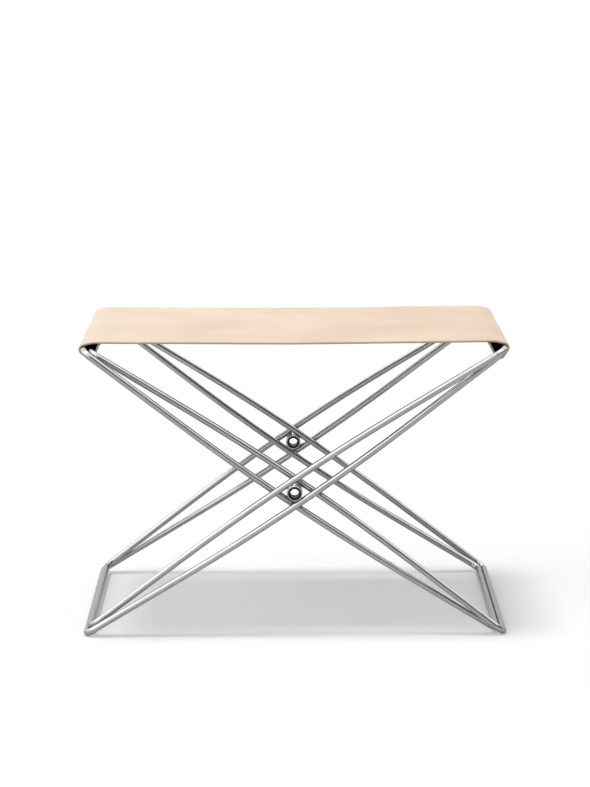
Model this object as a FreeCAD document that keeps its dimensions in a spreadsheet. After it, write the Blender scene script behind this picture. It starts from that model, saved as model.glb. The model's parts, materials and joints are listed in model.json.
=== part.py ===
import FreeCAD, Part
import math
import os

import Sketcher
from FreeCAD import Placement, Rotation, Vector

# A folding X frame stool. Two frames cross at a hollow pivot on each side. Each frame is two closed
# loops of bent rod, one above the other. All four loops are alike: wide at one end and narrow at the
# other, so that in each frame the narrow end of one loop nests inside the wide end of the other.
# A strap of thick leather is carried by the top bars and turns back under them in a pocket.
#
# X runs along the stool, Y across it, Z up. The origin is on the floor, under the middle of the seat.
# Sizes are millimetres and degrees.

doc = FreeCAD.newDocument("x_frame_stool")
sheet = doc.addObject("Spreadsheet::Sheet", "Dimensions")

# Driving sizes: alias, value, what it is.
dimensions = [
    ("rodDiameter", 9.0, "round rod of the four loops"),
    ("loopReach", 335.4, "pivot to the centre of a loop's outer bar, along the frame"),
    ("loopHalfWidth", 220.5, "stool's middle plane to the side rod's centre at a loop's wide end"),
    ("cornerRadius", 12.5, "corner bends, on the rod's centre line"),
    ("nestGap", 2.5, "clear gap between the side rods where one loop nests in the other"),
    ("barOffset", 3.3, "nested bar's distance off the outer bar, square to the frame"),
    ("bowRun", 180.0, "length each side of the pivot over which the side rods bow apart"),
    ("weldGap", 0.05, "gap left between rods, and between rod and ring, for the weld"),
    ("frameAngle", 33.98, "rise of the outer frame from the floor"),
    ("ringDiameter", 21.0, "pivot ring, outside"),
    ("ringLength", 11.0, "pivot ring, along the pivot"),
    ("ringBore", 16.0, "pivot ring, inside"),
    ("ringEdge", 0.6, "chamfer on the pivot ring's outer edges"),
    ("washerThickness", 1.0, "space between the two rings of a pivot"),
    ("faceClearance", 0.1, "gap on each face of the washer"),
    ("runningClearance", 0.05, "gap on the radius between sleeve and ring, and sleeve and washer"),
    ("sleeveBore", 12.0, "hole through the black sleeve"),
    ("sleeveInset", 0.3, "sleeve's end behind the ring's face"),
    ("leatherThickness", 3.0, "hide"),
    ("leatherMargin", 0.5, "edge of the hide to the corner bends of the nested bars"),
    ("leatherClearance", 0.3, "hide to the bar that it wraps"),
    ("seatLift", 3.1, "underside of the stiff hide above the top bars, near the ends"),
    ("seatSag", 2.0, "drop of the hide in the middle"),
    ("shoulderRun", 24.0, "end of the seat to the shoulder where its top levels out"),
    ("shoulderRadius", 45.0, "bend of the hide at the shoulder"),
    ("pocketRun", 29.0, "end of the seat to the place where the tail meets the underside"),
    ("tailGap", 0.2, "end of the tail to the underside of the seat"),
]
# Sizes that follow from them: alias, formula, what it is. The inner frame stands a little steeper, so
# that both frames touch the floor and carry the seat level. Straight side rods would pass the pivot
# at the natural half width. The stack of rings springs the frames apart from there.
derived = [
    ("narrowHalfWidth", "=loopHalfWidth - rodDiameter - nestGap", "as loopHalfWidth, at the narrow end"),
    ("nestedReach", "=loopReach - sqrt((rodDiameter + weldGap)^2 - barOffset^2)", "reach of the nested bar"),
    ("innerAngle", "=frameAngle + 2 * atan(barOffset / 2 / loopReach) / (1 deg)", "inner frame's rise"),
    (
        "pivotHeight",
        "=loopReach * sin(frameAngle * 1 deg) + barOffset / 2 * cos(frameAngle * 1 deg)"
        " + rodDiameter / 2",
        "pivot above the floor",
    ),
    ("spreadAtPivot", "=(ringDiameter + rodDiameter) / 2 + weldGap", "rod's centre to the pivot axis"),
    ("ringPitch", "=ringLength + washerThickness", "from the middle of one ring to that of the next"),
    (
        "naturalHalfWidth",
        "=(loopHalfWidth * nestedReach + narrowHalfWidth * loopReach) / (loopReach + nestedReach)",
        "half width of a straight loop at the pivot, and the middle of the pivot stack",
    ),
    ("outerHalfWidth", "=naturalHalfWidth + ringPitch / 2", "outer frame's half width at the pivot"),
    ("innerHalfWidth", "=naturalHalfWidth - ringPitch / 2", "inner frame's half width at the pivot"),
    ("leatherWidth", "=2 * (narrowHalfWidth - cornerRadius - leatherMargin)", "hide, across the stool"),
]
for row, (alias, value, note) in enumerate(dimensions + derived, start=1):
    sheet.set("A%d" % row, note)
    sheet.set("B%d" % row, str(value))
    sheet.setAlias("B%d" % row, alias)
doc.recompute()


def size(alias):
    return float(sheet.get(alias))


rodRadius = size("rodDiameter") / 2
nestedReach = size("nestedReach")
pivotHeight = size("pivotHeight")
outerAngle = math.radians(size("frameAngle"))
innerAngle = math.radians(size("innerAngle"))


def roundedPath(corners, radii):
    """A closed path: straight runs joined by a tangent arc at each corner. It starts in mid run."""
    count = len(corners)
    edges = []
    start = (corners[-1] + corners[0]) / 2
    here = start
    for index, corner in enumerate(corners):
        before = (corners[index - 1] - corner).normalize()
        after = (corners[(index + 1) % count] - corner).normalize()
        halfTurn = (math.pi - before.getAngle(after)) / 2
        trim = radii[index] * math.tan(halfTurn)
        arcStart = corner + before * trim
        arcEnd = corner + after * trim
        inward = (before + after).normalize()
        arcMiddle = corner + inward * (radii[index] / math.cos(halfTurn) - radii[index])
        edges.append(Part.LineSegment(here, arcStart).toShape())
        edges.append(Part.Arc(arcStart, arcMiddle, arcEnd).toShape())
        here = arcEnd
    edges.append(Part.LineSegment(here, start).toShape())
    return Part.Wire(edges)


def loopPath(halfWidthAtPivot):
    """Centre line of one loop: wide end at +X, bars half the bar offset above the frame's plane."""
    level = size("barOffset") / 2
    # A tangent arc passes inside its corner, so the corners beside the pivot stand further out.
    kept = 1 - size("bowRun") * (1 / size("loopReach") + 1 / nestedReach) / 4
    cornerSpread = level + (size("spreadAtPivot") - level) / kept
    natural = size("naturalHalfWidth")
    cornerHalfWidth = natural + (halfWidthAtPivot - natural) / kept
    wide = size("loopHalfWidth")
    narrow = size("narrowHalfWidth")
    corners = [
        Vector(size("loopReach"), wide, level),
        Vector(0, cornerHalfWidth, cornerSpread),
        Vector(-nestedReach, narrow, level),
        Vector(-nestedReach, -narrow, level),
        Vector(0, -cornerHalfWidth, cornerSpread),
        Vector(size("loopReach"), -wide, level),
    ]
    legs = (corners[0] - corners[1]).normalize(), (corners[2] - corners[1]).normalize()
    bowHalfTurn = (math.pi - legs[0].getAngle(legs[1])) / 2
    bowRadius = size("bowRun") / math.tan(bowHalfTurn)
    bend = size("cornerRadius")
    radii = [bend, bowRadius, bend, bend, bowRadius, bend]
    return roundedPath(corners, radii)


def rodLoop(label, halfWidthAtPivot, turn, frameTurn):
    """One bent loop: a round section swept along its path, turned into place in its frame."""
    path = doc.addObject("Part::Feature", label + "_path")
    path.Shape = loopPath(halfWidthAtPivot)
    section = doc.addObject("Part::Circle", label + "_section")
    section.setExpression("Radius", "Dimensions.rodDiameter / 2")
    section.Placement = Placement(
        Vector(size("loopReach"), 0, size("barOffset") / 2), Rotation(Vector(1, 0, 0), 90)
    )
    loop = doc.addObject("Part::Sweep", label)
    loop.Label = label
    loop.Sections = [section]
    loop.Spine = (path, ["Edge%d" % (i + 1) for i in range(len(path.Shape.Edges))])
    loop.Solid = True
    loop.Placement = Placement(Vector(0, 0, pivotHeight), frameTurn.multiply(turn))
    loop.setExpression("Placement.Base.z", "Dimensions.pivotHeight")
    return loop


def planeSketch(body, name):
    """A sketch on the body's own XZ plane: its x is X and its y is Z."""
    plane = [f for f in body.Origin.OriginFeatures if f.Role == "XZ_Plane"][0]
    sketch = body.newObject("Sketcher::SketchObject", name)
    sketch.AttachmentSupport = [(plane, "")]
    sketch.MapMode = "FlatFace"
    return sketch


def ringBody(label, outerRule, innerRule, lengthRule, sideRule, edgeRule=None):
    """A ring about the pivot axis: two circles padded both ways, its outer edges broken."""
    body = doc.addObject("PartDesign::Body", label)
    body.Label = label
    sketch = planeSketch(body, label + "_sketch")
    for index, rule in enumerate((outerRule, innerRule)):
        sketch.addGeometry(Part.Circle(Vector(0, 0, 0), Vector(0, 0, 1), 10 - 3 * index), False)
        sketch.addConstraint(Sketcher.Constraint("Coincident", index, 3, -1, 1))
        radius = sketch.addConstraint(Sketcher.Constraint("Radius", index, 10 - 3 * index))
        sketch.setExpression("Constraints[%d]" % radius, rule)
    pad = body.newObject("PartDesign::Pad", label + "_pad")
    pad.Profile = sketch
    pad.Midplane = True
    pad.setExpression("Length", lengthRule)
    doc.recompute()
    if edgeRule:
        outerRadius = max(e.Curve.Radius for e in pad.Shape.Edges if hasattr(e.Curve, "Radius"))
        names = [
            "Edge%d" % (i + 1)
            for i, e in enumerate(pad.Shape.Edges)
            if hasattr(e.Curve, "Radius") and abs(e.Curve.Radius - outerRadius) < 1e-6
        ]
        chamfer = body.newObject("PartDesign::Chamfer", label + "_edge")
        chamfer.Base = (pad, names)
        chamfer.setExpression("Size", edgeRule)
    body.setExpression("Placement.Base.y", sideRule)
    body.setExpression("Placement.Base.z", "Dimensions.pivotHeight")
    return body


def beltPath(stations):
    """Lines and arcs of a belt in the XZ plane. A station is a centre and a signed radius: positive
    where the belt turns clockwise round it. The first and last stations only end the belt."""
    touches = []
    for (centre, radius), (nextCentre, nextRadius) in zip(stations, stations[1:]):
        span = nextCentre - centre
        heading = math.atan2(span.y, span.x) - math.asin((radius - nextRadius) / span.Length)
        left = Vector(-math.sin(heading), math.cos(heading), 0)
        touches.append((centre + left * radius, nextCentre + left * nextRadius, left))
    edges = []
    for index, (leave, arrive, left) in enumerate(touches):
        edges.append(Part.LineSegment(leave, arrive))
        if index + 1 < len(touches):
            centre, radius = stations[index + 1]
            onward = touches[index + 1]
            middle = centre + (left + onward[2]).normalize() * radius
            edges.append(Part.Arc(arrive, middle, onward[0]))
    return edges, touches[0][0], touches[-1][1]


def topBars(angle, side, outerIsHigh):
    """Centres of a frame's outer and nested top bars, in the XZ plane. side is 1 at the right."""
    offset = size("barOffset") / 2 * (1 if outerIsHigh else -1)
    centres = []
    for reach, rise in ((size("loopReach"), offset), (nestedReach, -offset)):
        centres.append(
            Vector(
                side * (reach * math.cos(angle) - rise * math.sin(angle)),
                pivotHeight + reach * math.sin(angle) + rise * math.cos(angle),
                0,
            )
        )
    return centres


def leatherSeat(label):
    """The hide: a belt over both shoulders and round the top bars, as thick as the hide."""
    half = size("leatherThickness") / 2
    wrap = rodRadius + size("leatherClearance") + half
    leftOuter, leftNested = topBars(innerAngle, -1, outerIsHigh=False)
    rightOuter, rightNested = topBars(outerAngle, 1, outerIsHigh=True)
    level = 2 * pivotHeight + size("seatLift") + half
    leftEnd = leftOuter.x - wrap - half
    rightEnd = rightOuter.x + wrap + half
    shoulder = size("shoulderRadius")
    # A long arc gives the sag; it meets the two straight runs from the shoulders.
    sagSpan = (rightEnd - leftEnd) / 2 - size("shoulderRun")
    sagRadius = sagSpan ** 2 / (4 * size("seatSag"))
    middle = (leftEnd + rightEnd) / 2

    def tailEnd(x, nested):
        """The tail is cut square, so its higher corner is what comes up to the seat's underside."""
        underside = level - half
        run = abs(nested.x) - abs(x)
        rise = underside - nested.y
        lean = math.atan2(rise, run) + math.asin(wrap / math.hypot(run, rise))
        return Vector(x, underside - size("tailGap") - half * math.cos(lean), 0), 0

    stations = [
        tailEnd(leftEnd + size("pocketRun") - half, leftNested),
        (leftNested, wrap),
        (leftOuter, wrap),
        (Vector(leftEnd + size("shoulderRun"), level - shoulder, 0), shoulder),
        (Vector(middle, level - size("seatSag") + sagRadius, 0), -sagRadius),
        (Vector(rightEnd - size("shoulderRun"), level - shoulder, 0), shoulder),
        (rightOuter, wrap),
        (rightNested, wrap),
        tailEnd(rightEnd - size("pocketRun") + half, rightNested),
    ]
    upper, upperStart, upperEnd = beltPath([(c, r + half) for c, r in stations])
    lower, lowerStart, lowerEnd = beltPath([(c, r - half) for c, r in stations])
    body = doc.addObject("PartDesign::Body", label)
    body.Label = label
    sketch = planeSketch(body, label + "_outline")
    sketch.addGeometry(upper + lower, False)
    sketch.addGeometry(Part.LineSegment(upperStart, lowerStart), False)
    sketch.addGeometry(Part.LineSegment(upperEnd, lowerEnd), False)
    pad = body.newObject("PartDesign::Pad", label + "_pad")
    pad.Profile = sketch
    pad.Midplane = True
    pad.setExpression("Length", "Dimensions.leatherWidth")
    return body


def halfTurnAbout(x, y, z):
    return Rotation(Vector(x, y, z), 180)


outerFrameTurn = Rotation(Vector(0, 1, 0), -size("frameAngle"))
innerFrameTurn = Rotation(Vector(0, 1, 0), size("innerAngle")).multiply(halfTurnAbout(0, 0, 1))
parts = [
    rodLoop("outer_frame_upper_loop", size("outerHalfWidth"), Rotation(), outerFrameTurn),
    rodLoop("outer_frame_lower_loop", size("outerHalfWidth"), halfTurnAbout(0, 1, 0), outerFrameTurn),
    rodLoop("inner_frame_upper_loop", size("innerHalfWidth"), halfTurnAbout(0, 0, 1), innerFrameTurn),
    rodLoop("inner_frame_lower_loop", size("innerHalfWidth"), halfTurnAbout(1, 0, 0), innerFrameTurn),
]

for side, sign in (("front", "-"), ("back", "")):
    for frame in ("outer", "inner"):
        parts.append(
            ringBody(
                "%s_frame_pivot_ring_%s" % (frame, side),
                "Dimensions.ringDiameter / 2",
                "Dimensions.ringBore / 2",
                "Dimensions.ringLength",
                "%sDimensions.%sHalfWidth" % (sign, frame),
                "Dimensions.ringEdge",
            )
        )
    parts.append(
        ringBody(
            "pivot_sleeve_" + side,
            "Dimensions.ringBore / 2 - Dimensions.runningClearance",
            "Dimensions.sleeveBore / 2",
            "2 * Dimensions.ringLength + Dimensions.washerThickness - 2 * Dimensions.sleeveInset",
            "%sDimensions.naturalHalfWidth" % sign,
        )
    )
    parts.append(
        ringBody(
            "pivot_washer_" + side,
            "Dimensions.ringDiameter / 2 - Dimensions.ringEdge",
            "Dimensions.ringBore / 2",
            "Dimensions.washerThickness - 2 * Dimensions.faceClearance",
            "%sDimensions.naturalHalfWidth" % sign,
        )
    )

parts.append(leatherSeat("leather_seat"))
doc.recompute()

for item in doc.Objects:
    if "Invalid" in item.State or "Error" in item.State:
        raise RuntimeError("%s failed: %s" % (item.Label, item.State))
for part in parts:
    if part.Shape.isNull() or not part.Shape.isValid() or not part.Shape.Solids:
        raise RuntimeError("%s has no valid solid" % part.Label)

os.makedirs("parts", exist_ok=True)
for part in parts:
    part.Shape.exportStep("parts/%s.step" % part.Label)
    box = part.Shape.BoundBox
    print(
        "%-32s solids %d volume %.0f  x %.1f %.1f  y %.1f %.1f  z %.1f %.1f"
        % (part.Label, len(part.Shape.Solids), part.Shape.Volume,
           box.XMin, box.XMax, box.YMin, box.YMax, box.ZMin, box.ZMax)
    )
for label in ("outer_frame_upper_loop", "inner_frame_upper_loop"):
    path = doc.getObject(label + "_path").Shape
    expected = path.Length * math.pi * rodRadius ** 2
    print(label, "path", round(path.Length, 1), "volume ratio",
          round(doc.getObject(label).Shape.Volume / expected, 5))
print("pivot height", round(pivotHeight, 2), "inner angle", round(math.degrees(innerAngle), 3),
      "half widths", round(size("outerHalfWidth"), 2), round(size("innerHalfWidth"), 2))
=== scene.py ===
import json
import math

import bpy
import numpy as np
from mathutils import Matrix, Vector


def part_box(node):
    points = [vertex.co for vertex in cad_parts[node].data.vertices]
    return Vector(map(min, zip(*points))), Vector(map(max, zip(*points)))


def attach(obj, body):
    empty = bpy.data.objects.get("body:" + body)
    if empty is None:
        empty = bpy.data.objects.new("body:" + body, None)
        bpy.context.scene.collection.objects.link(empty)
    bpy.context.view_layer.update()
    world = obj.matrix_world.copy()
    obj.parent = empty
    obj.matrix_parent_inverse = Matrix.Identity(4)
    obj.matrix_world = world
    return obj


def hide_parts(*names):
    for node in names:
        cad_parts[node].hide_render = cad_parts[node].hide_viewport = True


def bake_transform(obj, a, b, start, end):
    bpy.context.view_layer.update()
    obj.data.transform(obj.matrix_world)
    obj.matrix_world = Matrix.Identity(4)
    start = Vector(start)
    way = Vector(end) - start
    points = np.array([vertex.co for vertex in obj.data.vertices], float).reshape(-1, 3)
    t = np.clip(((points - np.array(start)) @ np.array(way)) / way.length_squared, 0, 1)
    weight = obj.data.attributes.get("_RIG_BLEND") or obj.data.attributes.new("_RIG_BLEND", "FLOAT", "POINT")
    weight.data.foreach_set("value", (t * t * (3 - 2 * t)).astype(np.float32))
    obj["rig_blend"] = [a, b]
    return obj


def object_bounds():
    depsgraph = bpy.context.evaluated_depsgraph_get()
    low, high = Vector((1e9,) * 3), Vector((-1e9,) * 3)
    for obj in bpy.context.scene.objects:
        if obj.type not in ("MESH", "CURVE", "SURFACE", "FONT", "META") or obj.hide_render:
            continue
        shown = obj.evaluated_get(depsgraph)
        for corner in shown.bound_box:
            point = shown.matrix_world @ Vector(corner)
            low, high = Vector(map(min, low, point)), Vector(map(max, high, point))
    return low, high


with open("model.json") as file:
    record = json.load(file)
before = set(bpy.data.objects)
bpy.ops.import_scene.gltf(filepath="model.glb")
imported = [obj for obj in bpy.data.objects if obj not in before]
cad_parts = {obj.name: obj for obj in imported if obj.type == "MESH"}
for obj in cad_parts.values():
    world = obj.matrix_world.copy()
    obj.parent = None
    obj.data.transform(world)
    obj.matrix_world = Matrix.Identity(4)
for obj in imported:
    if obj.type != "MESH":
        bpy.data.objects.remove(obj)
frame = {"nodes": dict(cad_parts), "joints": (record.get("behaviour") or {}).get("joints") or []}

# X frame stool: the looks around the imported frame. Metres, Z up, X along the stool, Y front to back.
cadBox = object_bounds()
nodes = frame["nodes"]
foldJoint = frame["joints"][0]
pivotHeight = foldJoint["pos_m"][2]
foldRange = math.radians(foldJoint["range_deg"][1])
rodRadius = 0.0045


# Camera: the place and turn that match the photograph.
cameraView = {
    "place": (-0.017, -4.509, 0.947),
    "yaw": -0.24,          # degrees, to the left
    "pitchDown": 8.238,
    "roll": -0.22,
    "focalPixels": 3293,
    "longSidePixels": 787,
    "sensor": 36.0,        # millimetres, along the long side
}


def makeCamera(view):
    data = bpy.data.cameras.new("camera")
    data.sensor_width = view["sensor"]
    data.lens = view["focalPixels"] * view["sensor"] / view["longSidePixels"]
    data.clip_end = 100
    camera = bpy.data.objects.new("camera", data)
    bpy.context.scene.collection.objects.link(camera)
    turn = (
        Matrix.Rotation(math.radians(view["yaw"]), 4, "Z")
        @ Matrix.Rotation(math.radians(90 - view["pitchDown"]), 4, "X")
        @ Matrix.Rotation(math.radians(view["roll"]), 4, "Z")
    )
    camera.matrix_world = Matrix.Translation(view["place"]) @ turn
    bpy.context.scene.camera = camera


makeCamera(cameraView)
print("camera placed")


# Node helpers: a node with its settings, and the few nodes that most finishes use.
def addNode(tree, kind, **settings):
    node = tree.nodes.new(kind)
    for key, value in settings.items():
        setattr(node, key, value)
    return node


def setInputs(node, values):
    for key, value in values.items():
        node.inputs[key].default_value = value


def newMaterial(name):
    material = bpy.data.materials.new(name)
    material.use_nodes = True
    tree = material.node_tree
    shader = tree.nodes["Principled BSDF"]
    return material, tree, shader


def splitVector(tree, vector):
    node = addNode(tree, "ShaderNodeSeparateXYZ")
    tree.links.new(vector, node.inputs["Vector"])
    return (node.outputs[axis] for axis in "XYZ")


def mapped(tree, vector, **changes):
    node = addNode(tree, "ShaderNodeMapping")
    setInputs(node, changes)
    tree.links.new(vector, node.inputs["Vector"])
    return node.outputs["Vector"]


def noise(tree, vector, scale, detail=2.0, roughness=0.5):
    node = addNode(tree, "ShaderNodeTexNoise")
    setInputs(node, {"Scale": scale, "Detail": detail, "Roughness": roughness})
    tree.links.new(vector, node.inputs["Vector"])
    return node.outputs["Fac"]


def remap(tree, value, fromLow, fromHigh, toLow, toHigh):
    node = addNode(tree, "ShaderNodeMapRange", interpolation_type="SMOOTHSTEP")
    setInputs(node, {"From Min": fromLow, "From Max": fromHigh, "To Min": toLow, "To Max": toHigh})
    tree.links.new(value, node.inputs["Value"])
    return node.outputs["Result"]


def calc(tree, operation, first, second=None):
    node = addNode(tree, "ShaderNodeMath", operation=operation)
    for index, value in enumerate((first, second)):
        if value is None:
            continue
        if isinstance(value, (int, float)):
            node.inputs[index].default_value = value
        else:
            tree.links.new(value, node.inputs[index])
    return node.outputs["Value"]


# Noise lies mostly between 0.3 and 0.7, so that span is stretched before it mixes or shades anything.
noiseSpan = (0.3, 0.7)


def stretched(tree, value, toLow=0.0, toHigh=1.0):
    return remap(tree, value, *noiseSpan, toLow, toHigh)


def mix(tree, dataType, share, first, second):
    node = addNode(tree, "ShaderNodeMix", data_type=dataType)
    kind = "VALUE" if dataType == "FLOAT" else dataType
    tree.links.new(share, node.inputs["Factor"])
    for name, value in (("A", first), ("B", second)):
        socket = [s for s in node.inputs if s.name == name and s.type == kind][0]
        if isinstance(value, tuple):
            socket.default_value = (*value, 1)
        else:
            tree.links.new(value, socket)
    return [s for s in node.outputs if s.type == kind][0]


def mixColours(tree, share, first, second):
    return mix(tree, "RGBA", share, first, second)


def bump(tree, shader, height, strength, distance):
    node = addNode(tree, "ShaderNodeBump")
    setInputs(node, {"Strength": strength, "Distance": distance})
    tree.links.new(height, node.inputs["Height"])
    tree.links.new(node.outputs["Normal"], shader.inputs["Normal"])


# Steel rod: fine lines drawn along the rod. They run along the frame on the side rods and across
# the stool on the bars.
rodSteel = {
    "light": (0.40, 0.399, 0.395),
    "dark": (0.27, 0.269, 0.266),
    "edgeTint": 0.62,
    "roughness": (0.12, 0.22),
    "lineScale": (7.0, 1500.0),     # per metre, along and round the rod
    "sideRods": (0.198, 0.206),     # width at which the side rods take over from the bars
    "bump": (0.5, 0.00001),         # strength and height
}


def rodFinish(name, rise, settings):
    material, tree, shader = newMaterial(name)
    place = addNode(tree, "ShaderNodeTexCoord").outputs["Object"]
    coarse, fine = settings["lineScale"]
    # A Mapping node scales before it turns, so the turn has a node of its own.
    turned = mapped(tree, place, Rotation=(0, rise, 0))
    along = mapped(tree, turned, Scale=(coarse, fine, fine))
    across = mapped(tree, place, Scale=(fine, coarse, fine))
    sideLines = noise(tree, along, 1.0, detail=3.0, roughness=0.6)
    barLines = noise(tree, across, 1.0, detail=3.0, roughness=0.6)
    _, y, _ = splitVector(tree, place)
    onSide = remap(tree, calc(tree, "ABSOLUTE", y), *settings["sideRods"], 0.0, 1.0)
    lines = mix(tree, "FLOAT", onSide, barLines, sideLines)
    colour = mixColours(tree, stretched(tree, lines), settings["dark"], settings["light"])
    tree.links.new(colour, shader.inputs["Base Color"])
    low, high = settings["roughness"]
    tree.links.new(stretched(tree, lines, high, low), shader.inputs["Roughness"])
    shader.inputs["Metallic"].default_value = 1.0
    tint = settings["edgeTint"]       # satin steel stays grey where it is seen edge on
    shader.inputs["Specular Tint"].default_value = (tint, tint, tint, 1)
    bump(tree, shader, lines, *settings["bump"])
    return material


# Turned steel for the rings, and black for the sleeves, their lips and the washers: fine lines round the
# pivot.
turnedFinishes = {
    "ringSteel": {
        "light": (0.42, 0.418, 0.414),
        "dark": (0.29, 0.288, 0.284),
        "roughness": (0.20, 0.34),
        "metallic": 1.0,
        "specular": 0.5,
        "lineScale": 2600.0,
        "bump": (0.5, 0.00001),
    },
    "sleeveBlack": {
        "light": (0.014, 0.014, 0.015),
        "dark": (0.006, 0.006, 0.007),
        "roughness": (0.46, 0.64),
        "metallic": 0.0,
        "specular": 0.16,
        "lineScale": 2200.0,
        "bump": (0.5, 0.00001),
    },
}


def turnedFinish(name, settings):
    material, tree, shader = newMaterial(name)
    x, y, z = splitVector(tree, addNode(tree, "ShaderNodeTexCoord").outputs["Object"])
    height = calc(tree, "SUBTRACT", z, pivotHeight)
    squares = calc(tree, "ADD", calc(tree, "MULTIPLY", x, x), calc(tree, "MULTIPLY", height, height))
    joined = addNode(tree, "ShaderNodeCombineXYZ")
    tree.links.new(calc(tree, "SQRT", squares), joined.inputs["X"])
    tree.links.new(y, joined.inputs["Y"])
    lines = noise(tree, joined.outputs["Vector"], settings["lineScale"])
    colour = mixColours(tree, stretched(tree, lines), settings["dark"], settings["light"])
    tree.links.new(colour, shader.inputs["Base Color"])
    low, high = settings["roughness"]
    tree.links.new(stretched(tree, lines, high, low), shader.inputs["Roughness"])
    setInputs(shader, {"Metallic": settings["metallic"], "Specular IOR Level": settings["specular"]})
    bump(tree, shader, lines, *settings["bump"])
    return material


# Which way each frame rises, seen from the front: the outer frame to the right.
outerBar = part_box("outer_frame_upper_loop")[1]
frameRise = math.atan2(outerBar.z - rodRadius - pivotHeight, outerBar.x - rodRadius)
rodFinishes = {
    "outer_frame": rodFinish("outerFrameSteel", frameRise, rodSteel),
    "inner_frame": rodFinish("innerFrameSteel", -frameRise, rodSteel),
}
ringSteel = turnedFinish("ringSteel", turnedFinishes["ringSteel"])
sleeveBlack = turnedFinish("sleeveBlack", turnedFinishes["sleeveBlack"])


def finishFor(name):
    if name.endswith("_loop"):
        return rodFinishes[name[: len("outer_frame")]]
    return ringSteel if "ring" in name else sleeveBlack


for name, node in nodes.items():
    if name != "leather_seat":
        node.material_slots[0].material = finishFor(name)
print("steel and black finishes on", len(nodes) - 1, "frame pieces")


def meshPiece(name, points, faces, material, smooth=True):
    mesh = bpy.data.meshes.new(name)
    mesh.from_pydata(points.tolist(), [], faces)
    mesh.polygons.foreach_set("use_smooth", np.full(len(mesh.polygons), smooth))
    mesh.materials.append(material)
    mesh.update()
    piece = bpy.data.objects.new(name, mesh)
    bpy.context.scene.collection.objects.link(piece)
    return piece


# Quads between the rows of a grid whose rows close on themselves. The last row joins the first one where
# the grid closes that way too.
def gridFaces(rows, columns, closed):
    index = np.arange(rows * columns).reshape(rows, columns)
    here, after = (index, np.roll(index, -1, axis=0)) if closed else (index[:-1], index[1:])
    quads = [here, np.roll(here, -1, axis=1), np.roll(after, -1, axis=1), after]
    return np.stack(quads, axis=-1).reshape(-1, 4).tolist()


# One mesh out of several closed grids of the same size.
def joinGrids(name, grids, rows, columns, material, smooth=True):
    starts = np.arange(len(grids))[:, None, None] * rows * columns
    faces = (np.array(gridFaces(rows, columns, True)) + starts).reshape(-1, 4).tolist()
    return meshPiece(name, np.concatenate(grids), faces, material, smooth)


# Weld beads: one round each place where a ring touches the rod above or below it.
weld = {
    "ringRadius": 0.0105,
    "alongRod": 0.0036,       # half the bead's length
    "acrossRod": 0.0026,
    "thickness": 0.00085,     # half its width
    "ripple": 0.12,           # share of the thickness
    "ripples": 19,
    "steps": (76, 12),
    "light": (0.44, 0.42, 0.39),
    "dark": (0.25, 0.225, 0.205),
    "roughness": (0.28, 0.46),
    "grainScale": 1100.0,
    "grainSpan": (0.35, 0.65),
    "bump": (0.4, 0.00005),
}


def weldFinish(name, settings):
    material, tree, shader = newMaterial(name)
    place = addNode(tree, "ShaderNodeTexCoord").outputs["Object"]
    grain = noise(tree, place, settings["grainScale"], detail=3.0, roughness=0.6)
    share = remap(tree, grain, *settings["grainSpan"], 0.0, 1.0)
    colour = mixColours(tree, share, settings["dark"], settings["light"])
    tree.links.new(colour, shader.inputs["Base Color"])
    low, high = settings["roughness"]
    tree.links.new(stretched(tree, grain, high, low), shader.inputs["Roughness"])
    shader.inputs["Metallic"].default_value = 1.0
    bump(tree, shader, grain, *settings["bump"])
    return material


# A bead is a rippled tube carried round an ellipse about the place of contact. The ellipse keeps midway
# between ring and rod: up by the square of the distance across the rod over four rod radii, and down by
# the square of the distance along it over four ring radii.
def weldBead(contact, along, out, settings):
    count, sides = settings["steps"]
    across = np.array([0.0, 1.0, 0.0])
    turn = np.linspace(0, 2 * math.pi, count, endpoint=False)[:, None]
    run, width = settings["alongRod"] * np.cos(turn), settings["acrossRod"] * np.sin(turn)
    height = width ** 2 / (4 * rodRadius) - run ** 2 / (4 * settings["ringRadius"])
    path = contact + run * along + width * across + height * out
    tangent = np.roll(path, -1, axis=0) - np.roll(path, 1, axis=0)
    tangent /= np.linalg.norm(tangent, axis=1, keepdims=True)
    side = np.cross(out, tangent)
    side /= np.linalg.norm(side, axis=1, keepdims=True)
    lift = np.cross(tangent, side)
    radius = settings["thickness"] * (1 + settings["ripple"] * np.sin(settings["ripples"] * turn))
    section = np.linspace(0, 2 * math.pi, sides, endpoint=False)[None, :, None]
    spoke = side[:, None] * np.cos(section) + lift[:, None] * np.sin(section)
    return (path[:, None] + radius[:, :, None] * spoke).reshape(-1, 3)


# Beads of one frame, above and below each of its rings. Along is the way it rises, and out is square to it.
def makeWelds(body, rise, material, settings):
    along = np.array([math.cos(rise), 0.0, math.sin(rise)])
    out = np.array([-math.sin(rise), 0.0, math.cos(rise)])
    beads = []
    for end in ("front", "back"):
        low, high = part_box(body + "_pivot_ring_" + end)
        middle = np.array([0.0, (low.y + high.y) / 2, pivotHeight])
        for way in (-1, 1):
            contact = middle + out * way * settings["ringRadius"]
            beads.append(weldBead(contact, along, out * way, settings))
    name = body.split("_")[0] + "FrameWelds"
    piece = joinGrids(name, beads, *settings["steps"], material)
    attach(piece, body)


weldSteel = weldFinish("weldSteel", weld)
makeWelds("outer_frame", frameRise, weldSteel, weld)
makeWelds("inner_frame", math.pi - frameRise, weldSteel, weld)
print("weld beads on both frames")


# Lips of the sleeves: a thin black flange at each end, over the inner part of the ring's face.
lip = {
    "bore": 0.006,
    "neck": 0.0079,       # radius of the part inside the ring
    "reach": 0.0089,      # radius of the flange
    "depth": 0.00028,     # below the ring's face
    "height": 0.00025,    # above it
    "seat": 0.00002,      # gap to the face
    "bevel": 0.0001,
    "steps": 72,
}


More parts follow.
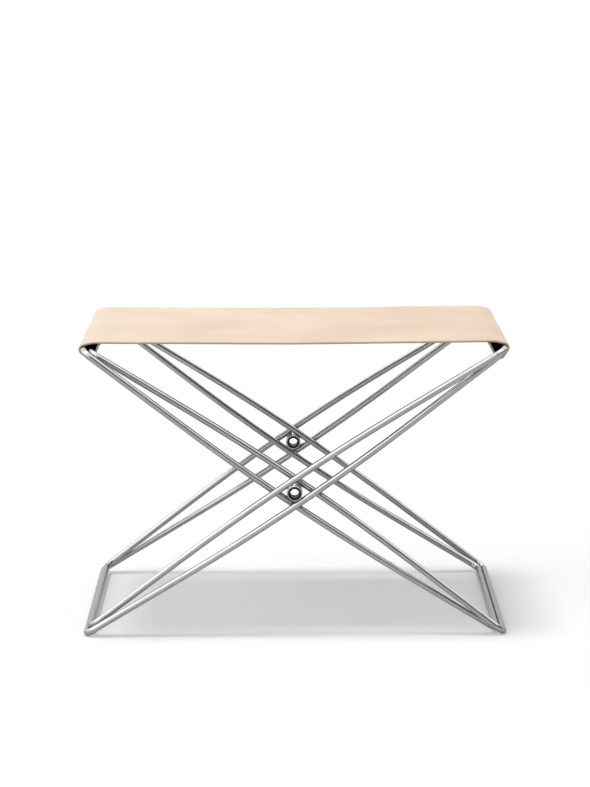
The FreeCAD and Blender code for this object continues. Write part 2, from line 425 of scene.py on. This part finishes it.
# A lip is its profile of radius and height carried round the pivot's axis.
def makeLips(settings, material):
    bore, neck, reach = settings["bore"], settings["neck"], settings["reach"]
    top, bevel = settings["height"], settings["bevel"]
    profile = np.array([
        (bore, -settings["depth"]), (neck, -settings["depth"]), (neck, settings["seat"]),
        (reach, settings["seat"]), (reach, top - bevel), (reach - bevel, top),
        (bore + 2 * bevel, top), (bore, top - 2 * bevel),
    ])
    steps = settings["steps"]
    turn = np.linspace(0, 2 * math.pi, steps, endpoint=False)[:, None]
    flanges = []
    for node, way in (
        ("outer_frame_pivot_ring_front", -1), ("inner_frame_pivot_ring_front", 1),
        ("outer_frame_pivot_ring_back", 1), ("inner_frame_pivot_ring_back", -1),
    ):
        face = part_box(node)[way > 0].y
        radius, height = profile[::way].T     # turned round with the flange, so that faces point outwards
        across = np.broadcast_to(face + way * height, (steps, len(profile)))
        flange = np.stack([radius * np.cos(turn), across, pivotHeight + radius * np.sin(turn)], axis=-1)
        flanges.append(flange.reshape(-1, 3))
    piece = joinGrids("pivotSleeveLips", flanges, steps, len(profile), material, smooth=False)
    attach(piece, "outer_frame")


makeLips(lip, sleeveBlack)
print("lips on both sleeves")


# The hide: one strap over both shoulders and round the top bars, its tails turned in under the seat.
hide = {
    "thickness": 0.003,
    "barClearance": 0.0003,   # to the bar that it wraps
    "sag": 0.0020,            # in the middle
    "shoulderRun": 0.024,     # end of the seat to the shoulder where its top levels out
    "shoulderRadius": 0.045,
    "pocketRun": 0.029,       # end of the seat to the place where the tail meets the underside
    "tailGap": 0.0002,
    "edgeRound": 0.0011,      # burnished round on each long edge
    "edgeSteps": 5,
    "rows": 96,               # points across the stool, on each side of the hide
    "lineStep": 0.004,
    "arcStep": math.radians(7),
    "waveHeight": 0.00035,    # slow waves of the top
    "waveAlong": 17.0,        # radians per metre
    "waveSlant": 6.0,
    "waveAcross": 9.0,
    "waveStart": 0.6,
    "waveReach": 0.25,        # from the middle, where the waves have died away
    "waveDepth": 0.006,       # below the top, where the seat ends and the wraps begin
    "edgeDarkTop": 0.30,       # shares of half the thickness, from the middle up
    "edgeDarkFade": 0.70,
}


# Heading of the tangent from one station to the next: that of the line between their centres, less the
# angle whose sine is the difference of radii over the distance.
def beltHeading(start, end):
    (centre, radius), (nextCentre, nextRadius) = start, end
    span = nextCentre - centre
    return math.atan2(span[1], span[0]) - math.asin((radius - nextRadius) / np.hypot(*span))


# The middle line of a belt in the XZ plane. A station is a centre and a signed radius, positive where
# the belt turns clockwise round it. Between two stations the belt is their common tangent, and on one it
# is the arc from one tangent's heading to the next. Returns points and headings.
def beltLine(stations, lineStep, arcStep):
    headings = [beltHeading(a, b) for a, b in zip(stations, stations[1:])]
    points, turns = [], []
    for index, heading in enumerate(headings):
        left = np.array([-math.sin(heading), math.cos(heading)])
        start = stations[index][0] + left * stations[index][1]
        end = stations[index + 1][0] + left * stations[index + 1][1]
        count = max(2, int(np.hypot(*(end - start)) / lineStep) + 1)
        share = np.linspace(0, 1, count)[:, None]
        points.append(start + (end - start) * share)
        turns.append(np.full(count, heading))
        if index + 1 < len(headings):
            centre, radius = stations[index + 1]
            turn = (headings[index + 1] - heading + math.pi) % (2 * math.pi) - math.pi
            angles = heading + turn * np.linspace(0, 1, max(3, int(abs(turn) / arcStep) + 2))[1:-1]
            lefts = np.stack([-np.sin(angles), np.cos(angles)], axis=1)
            points.append(centre + lefts * radius)
            turns.append(angles)
    return np.concatenate(points), np.concatenate(turns)


# Middle of a loop's top bar in the XZ plane.
def topBar(node, side):
    low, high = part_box(node)
    reach = high.x - rodRadius if side > 0 else low.x + rodRadius
    return np.array([reach, high.z - rodRadius])


# Stations of the hide, from the left tail over the seat to the right one. The sag is an arc under the
# middle of the seat, and from there the belt runs straight to the shoulders.
def hideStations(settings):
    low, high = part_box("leather_seat")
    half = settings["thickness"] / 2
    wrap = rodRadius + settings["barClearance"] + half
    shoulder = settings["shoulderRadius"]
    level = high.z - half
    # On each side, the bar at the end of the seat and the one nested inside it.
    bars = {
        -1: (topBar("inner_frame_lower_loop", -1), topBar("inner_frame_upper_loop", -1)),
        1: (topBar("outer_frame_upper_loop", 1), topBar("outer_frame_lower_loop", 1)),
    }

    # A tail ends under the seat. Half its thickness, leaned as the tail is, keeps its corner off the seat.
    def tailEnd(side, nested):
        end = high.x if side > 0 else low.x
        x = end - side * (settings["pocketRun"] - half)
        underside = level - half
        run, rise = abs(nested[0]) - abs(x), underside - nested[1]
        lean = math.atan2(rise, run) + math.asin(wrap / math.hypot(run, rise))
        return np.array([x, underside - settings["tailGap"] - half * math.cos(lean)]), 0.0

    sagSpan = (high.x - low.x) / 2 - settings["shoulderRun"]
    sagRadius = sagSpan ** 2 / (4 * settings["sag"])
    return [
        tailEnd(-1, bars[-1][1]),
        (bars[-1][1], wrap),
        (bars[-1][0], wrap),
        (np.array([low.x + settings["shoulderRun"], level - shoulder]), shoulder),
        (np.array([(low.x + high.x) / 2, level - settings["sag"] + sagRadius]), -sagRadius),
        (np.array([high.x - settings["shoulderRun"], level - shoulder]), shoulder),
        (bars[1][0], wrap),
        (bars[1][1], wrap),
        tailEnd(1, bars[1][1]),
    ]


# A slab's closed outline: y across it and offset through it. Flat faces meet at each edge in two quarter
# rounds with a short wall between them.
def slabOutline(halfWidth, halfThickness, edgeRound, edgeSteps, rows):
    flat, wall = halfWidth - edgeRound, halfThickness - edgeRound
    run = np.linspace(-flat, flat, rows)
    angle = np.linspace(math.pi / 2, 0, edgeSteps)
    rightTop = np.stack([flat + edgeRound * np.cos(angle), wall + edgeRound * np.sin(angle)], axis=1)
    rightLow = rightTop[::-1] * (1, -1)
    top = np.stack([run, np.full(rows, halfThickness)], axis=1)
    low = np.stack([run[::-1], np.full(rows, -halfThickness)], axis=1)
    leftLow = rightLow[::-1] * (-1, 1)
    leftTop = rightTop[::-1] * (-1, 1)
    return np.concatenate([top, rightTop[1:], rightLow, low[1:], leftLow[1:], leftTop[:-1]])[::-1]


# Natural leather: a grain side with random tone and painted shade that darkens it from left to right, with
# pores and wrinkles, a rough flesh side and a darker cut edge.
leatherLooks = {
    "grain": (0.732, 0.583, 0.445),
    # Darker grain tone, reached by random clouds and by the painted shade towards the right.
    "grainDarkAndShaded": (0.66, 0.494, 0.352),
    "flesh": (0.50, 0.40, 0.31),
    "fleshDark": (0.40, 0.315, 0.24),
    "edge": (0.49, 0.345, 0.235),
    "rightShade": 0.55,              # share of the tone that is painted shade, darkening the grain from left to right
    "shadeAndToneRange": (0.15, 0.85),
    "length": 0.66,
    "cloudScale": 7.0,
    "wrinkleScale": 160.0,
    "poreScale": 900.0,
    "poreSmoothness": 0.4,
    "fibreScale": 1400.0,
    "wrinkleHeight": 0.6,       # against the pores' own
    "fibreHeight": 0.5,
    "sideSpan": (0.45, 0.55),   # of the mark for the flesh side
    "edgeSpan": (0.55, 0.95),   # of the mark for the edge
    "roughness": (0.46, 0.62),
    "specular": 0.25,
    "bump": (0.35, 0.00012),
}


def leatherFinish(name, settings):
    material, tree, shader = newMaterial(name)
    place = addNode(tree, "ShaderNodeUVMap", uv_map="hideMap").outputs["UV"]
    clouds = noise(tree, place, settings["cloudScale"], detail=4.0, roughness=0.55)
    wrinkles = noise(tree, place, settings["wrinkleScale"], detail=3.0, roughness=0.6)
    fibres = noise(tree, place, settings["fibreScale"], detail=3.0, roughness=0.7)
    pores = addNode(tree, "ShaderNodeTexVoronoi", feature="SMOOTH_F1")
    setInputs(pores, {"Scale": settings["poreScale"], "Smoothness": settings["poreSmoothness"]})
    tree.links.new(place, pores.inputs["Vector"])
    side = addNode(tree, "ShaderNodeAttribute", attribute_name="fleshSide").outputs["Fac"]
    edge = addNode(tree, "ShaderNodeAttribute", attribute_name="hideEdge").outputs["Fac"]

    fromLeft, _, _ = splitVector(tree, place)
    # Painted shade: the grain is darkened steadily from left to right along the hide, with random tone
    # clouds mixed in.
    rightShade = calc(tree, "MULTIPLY", fromLeft, settings["rightShade"] / settings["length"])
    shadedTone = calc(tree, "ADD", rightShade, calc(tree, "MULTIPLY", clouds, 1.0 - settings["rightShade"]))
    shadedTone = remap(tree, shadedTone, *settings["shadeAndToneRange"], 0.0, 1.0)
    grainTone = mixColours(tree, shadedTone, settings["grain"], settings["grainDarkAndShaded"])
    fleshTone = mixColours(tree, stretched(tree, fibres), settings["fleshDark"], settings["flesh"])
    colour = mixColours(tree, remap(tree, side, *settings["sideSpan"], 0.0, 1.0), grainTone, fleshTone)
    colour = mixColours(tree, remap(tree, edge, *settings["edgeSpan"], 0.0, 1.0), colour, settings["edge"])
    tree.links.new(colour, shader.inputs["Base Color"])

    tree.links.new(stretched(tree, clouds, *settings["roughness"]), shader.inputs["Roughness"])
    setInputs(shader, {"Specular IOR Level": settings["specular"]})
    wrinkled = calc(tree, "MULTIPLY", wrinkles, settings["wrinkleHeight"])
    fleshy = calc(tree, "MULTIPLY", calc(tree, "MULTIPLY", fibres, side), settings["fibreHeight"])
    surface = calc(tree, "ADD", calc(tree, "ADD", wrinkled, pores.outputs["Distance"]), fleshy)
    bump(tree, shader, surface, *settings["bump"])
    return material


# The hide is the slab's outline carried along the belt's middle line, square to it. Its UV map is in
# metres: along the hide, and across it with the flesh side a metre further on.
def makeHide(settings, material):
    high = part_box("leather_seat")[1]
    line, heading = beltLine(hideStations(settings), settings["lineStep"], settings["arcStep"])
    keep = np.concatenate([[True], np.hypot(*np.diff(line, axis=0).T) > 1e-6])     # doubled points go
    line, heading = line[keep], heading[keep]
    along = np.concatenate([[0], np.cumsum(np.hypot(*np.diff(line, axis=0).T))])
    half, halfWidth, edgeRound = settings["thickness"] / 2, high.y, settings["edgeRound"]
    outline = slabOutline(halfWidth, half, edgeRound, settings["edgeSteps"], settings["rows"])
    outward = np.stack([-np.sin(heading), np.cos(heading)], axis=1)
    u, v = len(line), len(outline)
    y, offset = outline[:, 0], outline[:, 1]
    x, z = line[:, :1], line[:, 1:]

    # Slow waves: a sine along the seat times a cosine across it, which die away towards the bars.
    wave = np.sin(x * settings["waveAlong"] + settings["waveStart"])
    wave = wave * np.cos(y * settings["waveAcross"] + x * settings["waveSlant"])
    onTop = np.abs(z - high.z) < settings["waveDepth"]
    dying = np.clip(1 - (x / settings["waveReach"]) ** 2, 0, 1)
    lift = settings["waveHeight"] * wave * dying * onTop
    points = np.empty((u, v, 3))
    points[:, :, 0] = x + outward[:, :1] * offset
    points[:, :, 1] = y
    points[:, :, 2] = z + outward[:, 1:] * offset + lift
    index = np.arange(u * v).reshape(u, v)
    ends = [index[0][::-1].tolist(), index[-1].tolist()]
    piece = meshPiece("seatHide", points.reshape(-1, 3), gridFaces(u, v, False) + ends, material)

    mesh = piece.data
    flesh = np.broadcast_to((offset < 0).astype(np.float32), (u, v)).ravel()
    # The cut edge is darkest on its lower part and fades out towards the grain.
    edge = np.clip((np.abs(y) - (halfWidth - edgeRound)) / edgeRound, 0, 1)
    edge *= np.clip((settings["edgeDarkTop"] - offset / half) / settings["edgeDarkFade"], 0, 1)
    edge = np.broadcast_to(edge.astype(np.float32), (u, v)).copy()
    edge[[0, -1]] = 1.0
    for name, values in (("fleshSide", flesh), ("hideEdge", edge.ravel())):
        mesh.attributes.new(name, "FLOAT", "POINT").data.foreach_set("value", values)
    corner = np.empty(len(mesh.loops), int)
    mesh.loops.foreach_get("vertex_index", corner)
    across = np.broadcast_to(y + np.where(offset < 0, 1.0, 0.0), (u, v)).ravel()
    place = np.stack([np.repeat(along, v)[corner], across[corner]], axis=1)
    mesh.uv_layers.new(name="hideMap").data.foreach_set("uv", place.astype(np.float32).ravel())
    return piece, along[-1], halfWidth


leather = leatherFinish("naturalLeather", leatherLooks)
seatHide, hideLength, halfWidth = makeHide(hide, leather)
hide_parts("leather_seat")
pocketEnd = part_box("leather_seat")[1].x - hide["pocketRun"] - hide["thickness"]
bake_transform(seatHide, "outer_frame", "inner_frame",
         start=(pocketEnd, 0, cadBox[1].z), end=(-pocketEnd, 0, cadBox[1].z))


# How the hide turns as the frames fold: at the full fold every point has swung to half the range, so the
# two halves hang side by side, and a small gap keeps them apart. The pockets stay with their bars.
# Weight = 1/2 - (angle about the pivot - gap / distance from the pivot) / range.
foldLook = {
    "gap": 0.004,
    "gapRun": 0.03,       # from the middle, where the gap opens
    "endRun": 0.19,       # from the middle, where it starts to widen towards the pockets
}


def setFoldWeights(piece, settings, end):
    mesh = piece.data
    places = np.empty(len(mesh.vertices) * 3)
    mesh.vertices.foreach_get("co", places)
    x = places.reshape(-1, 3)[:, 0]
    rise = cadBox[1].z - pivotHeight
    angle = np.arctan2(x, rise)
    reach = np.hypot(x, rise)
    endGap = math.hypot(end, rise) * (math.atan2(end, rise) - foldRange / 2)
    share = np.clip((np.abs(x) - settings["endRun"]) / (end - settings["endRun"]), 0, 1)
    share = share ** 2 * (3 - 2 * share)
    gap = settings["gap"] * np.tanh(np.abs(x) / settings["gapRun"]) * (1 - share) + endGap * share
    weight = 0.5 - (angle - np.sign(x) * gap / reach) / foldRange
    weight = np.where(x >= end, 0, np.where(x <= -end, 1, np.clip(weight, 0, 1)))
    mesh.attributes["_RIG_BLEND"].data.foreach_set("value", weight.astype(np.float32))


setFoldWeights(seatHide, foldLook, pocketEnd)
print("hide", round(2 * halfWidth, 4), "x", round(hideLength, 4), "m")


# Studio: a pale floor and white surroundings, one broad soft light straight above and a softer one
# from the left. Both are far off, so the floor is lit evenly.
studio = {
    "floorColour": 0.75,
    "floorRoughness": 0.9,
    "floorGlow": 0.262,         # with the lit floor this comes to white
    "floorSize": 60.0,
    "fill": 0.48,               # even light from all round
    "fillColour": (0.97, 0.98, 1.04),
    "mirrorDark": 0.22,         # what metal sees above the horizon: dark in front of the stool,
    "mirrorLight": 2.20,        # and light to the left, overhead and behind
    "leftEdge": (0.0, 0.30),
    "topEdge": (0.46, 0.66),
    "backEdge": (0.30, 0.62),
    "whiteUpTo": (0.03, 0.10),  # height of the white band along the horizon
    "backFrom": (0.20, 0.40),   # height where the light behind starts
    "backLow": 0.45,            # its share below that
}
lamps = {
    "overhead": {"from": (-0.105, 0.0, 1.0), "strength": 1.45, "angle": 17.0},
    "left": {"from": (-0.80, -0.35, 0.75), "strength": 0.48, "angle": 40.0},
}


def makeFloor(settings):
    material, tree, shader = newMaterial("paleFloor")
    grey = settings["floorColour"]
    setInputs(shader, {
        "Base Color": (grey, grey, grey, 1),
        "Roughness": settings["floorRoughness"],
        "Specular IOR Level": 0.0,
        "Emission Color": (1, 1, 1, 1),
    })
    rays = addNode(tree, "ShaderNodeLightPath").outputs
    seen = calc(tree, "ADD", rays["Is Camera Ray"], rays["Is Glossy Ray"])
    seen = calc(tree, "MINIMUM", calc(tree, "ADD", seen, rays["Is Transmission Ray"]), 1.0)
    tree.links.new(calc(tree, "MULTIPLY", seen, settings["floorGlow"]), shader.inputs["Emission Strength"])
    reach = settings["floorSize"] / 2
    corners = np.array([(-1, -1, 0), (1, -1, 0), (1, 1, 0), (-1, 1, 0)]) * reach
    meshPiece("floor", corners, [[0, 1, 2, 3]], material, smooth=False)


# The camera sees white all round. Metal sees the same white along the horizon, and above it a studio
# that darkens towards the camera and the right. Everything else gets the even fill.
def makeWorld(settings):
    world = bpy.data.worlds.new("studio")
    world.use_nodes = True
    bpy.context.scene.world = world
    tree = world.node_tree
    background = tree.nodes["Background"]
    rays = addNode(tree, "ShaderNodeLightPath").outputs
    x, y, z = splitVector(tree, addNode(tree, "ShaderNodeTexCoord").outputs["Generated"])
    left = remap(tree, calc(tree, "MULTIPLY", x, -1.0), *settings["leftEdge"], 0.0, 1.0)
    back = remap(tree, y, *settings["backEdge"], 0.0, 1.0)
    back = calc(tree, "MULTIPLY", back, remap(tree, z, *settings["backFrom"], settings["backLow"], 1.0))
    top = remap(tree, z, *settings["topEdge"], 0.0, 1.0)
    bright = calc(tree, "MAXIMUM", calc(tree, "MAXIMUM", left, back), top)
    span = settings["mirrorLight"] - settings["mirrorDark"]
    room = calc(tree, "ADD", calc(tree, "MULTIPLY", bright, span), settings["mirrorDark"])
    low, high = settings["whiteUpTo"]
    whiteShare = remap(tree, calc(tree, "ABSOLUTE", z), low, high, 1.0, 0.0)
    room = calc(tree, "MULTIPLY", room, calc(tree, "SUBTRACT", 1.0, whiteShare))
    room = calc(tree, "ADD", room, whiteShare)
    mirror = calc(tree, "ADD", rays["Is Glossy Ray"], rays["Is Transmission Ray"])
    mirror = calc(tree, "MINIMUM", mirror, calc(tree, "SUBTRACT", 1.0, rays["Is Camera Ray"]))
    others = calc(tree, "SUBTRACT", 1.0, calc(tree, "ADD", rays["Is Camera Ray"], mirror))
    strength = calc(tree, "ADD", rays["Is Camera Ray"], calc(tree, "MULTIPLY", mirror, room))
    strength = calc(tree, "ADD", strength, calc(tree, "MULTIPLY", others, settings["fill"]))
    tree.links.new(strength, background.inputs["Strength"])
    seen = calc(tree, "SUBTRACT", 1.0, others)
    colour = mixColours(tree, seen, settings["fillColour"], (1.0, 1.0, 1.0))
    tree.links.new(colour, background.inputs["Color"])


def makeLamp(name, settings):
    data = bpy.data.lights.new(name, "SUN")
    data.energy = settings["strength"]
    data.angle = math.radians(settings["angle"])
    lamp = bpy.data.objects.new(name, data)
    bpy.context.scene.collection.objects.link(lamp)
    place = Vector(settings["from"])
    aim = (-place).to_track_quat("-Z", "Y").to_matrix().to_4x4()
    lamp.matrix_world = Matrix.Translation(place) @ aim


makeFloor(studio)
makeWorld(studio)
for name, settings in lamps.items():
    makeLamp(name, settings)
bpy.context.scene.view_settings.view_transform = "Standard"
print("studio lit with", len(lamps), "lamps")
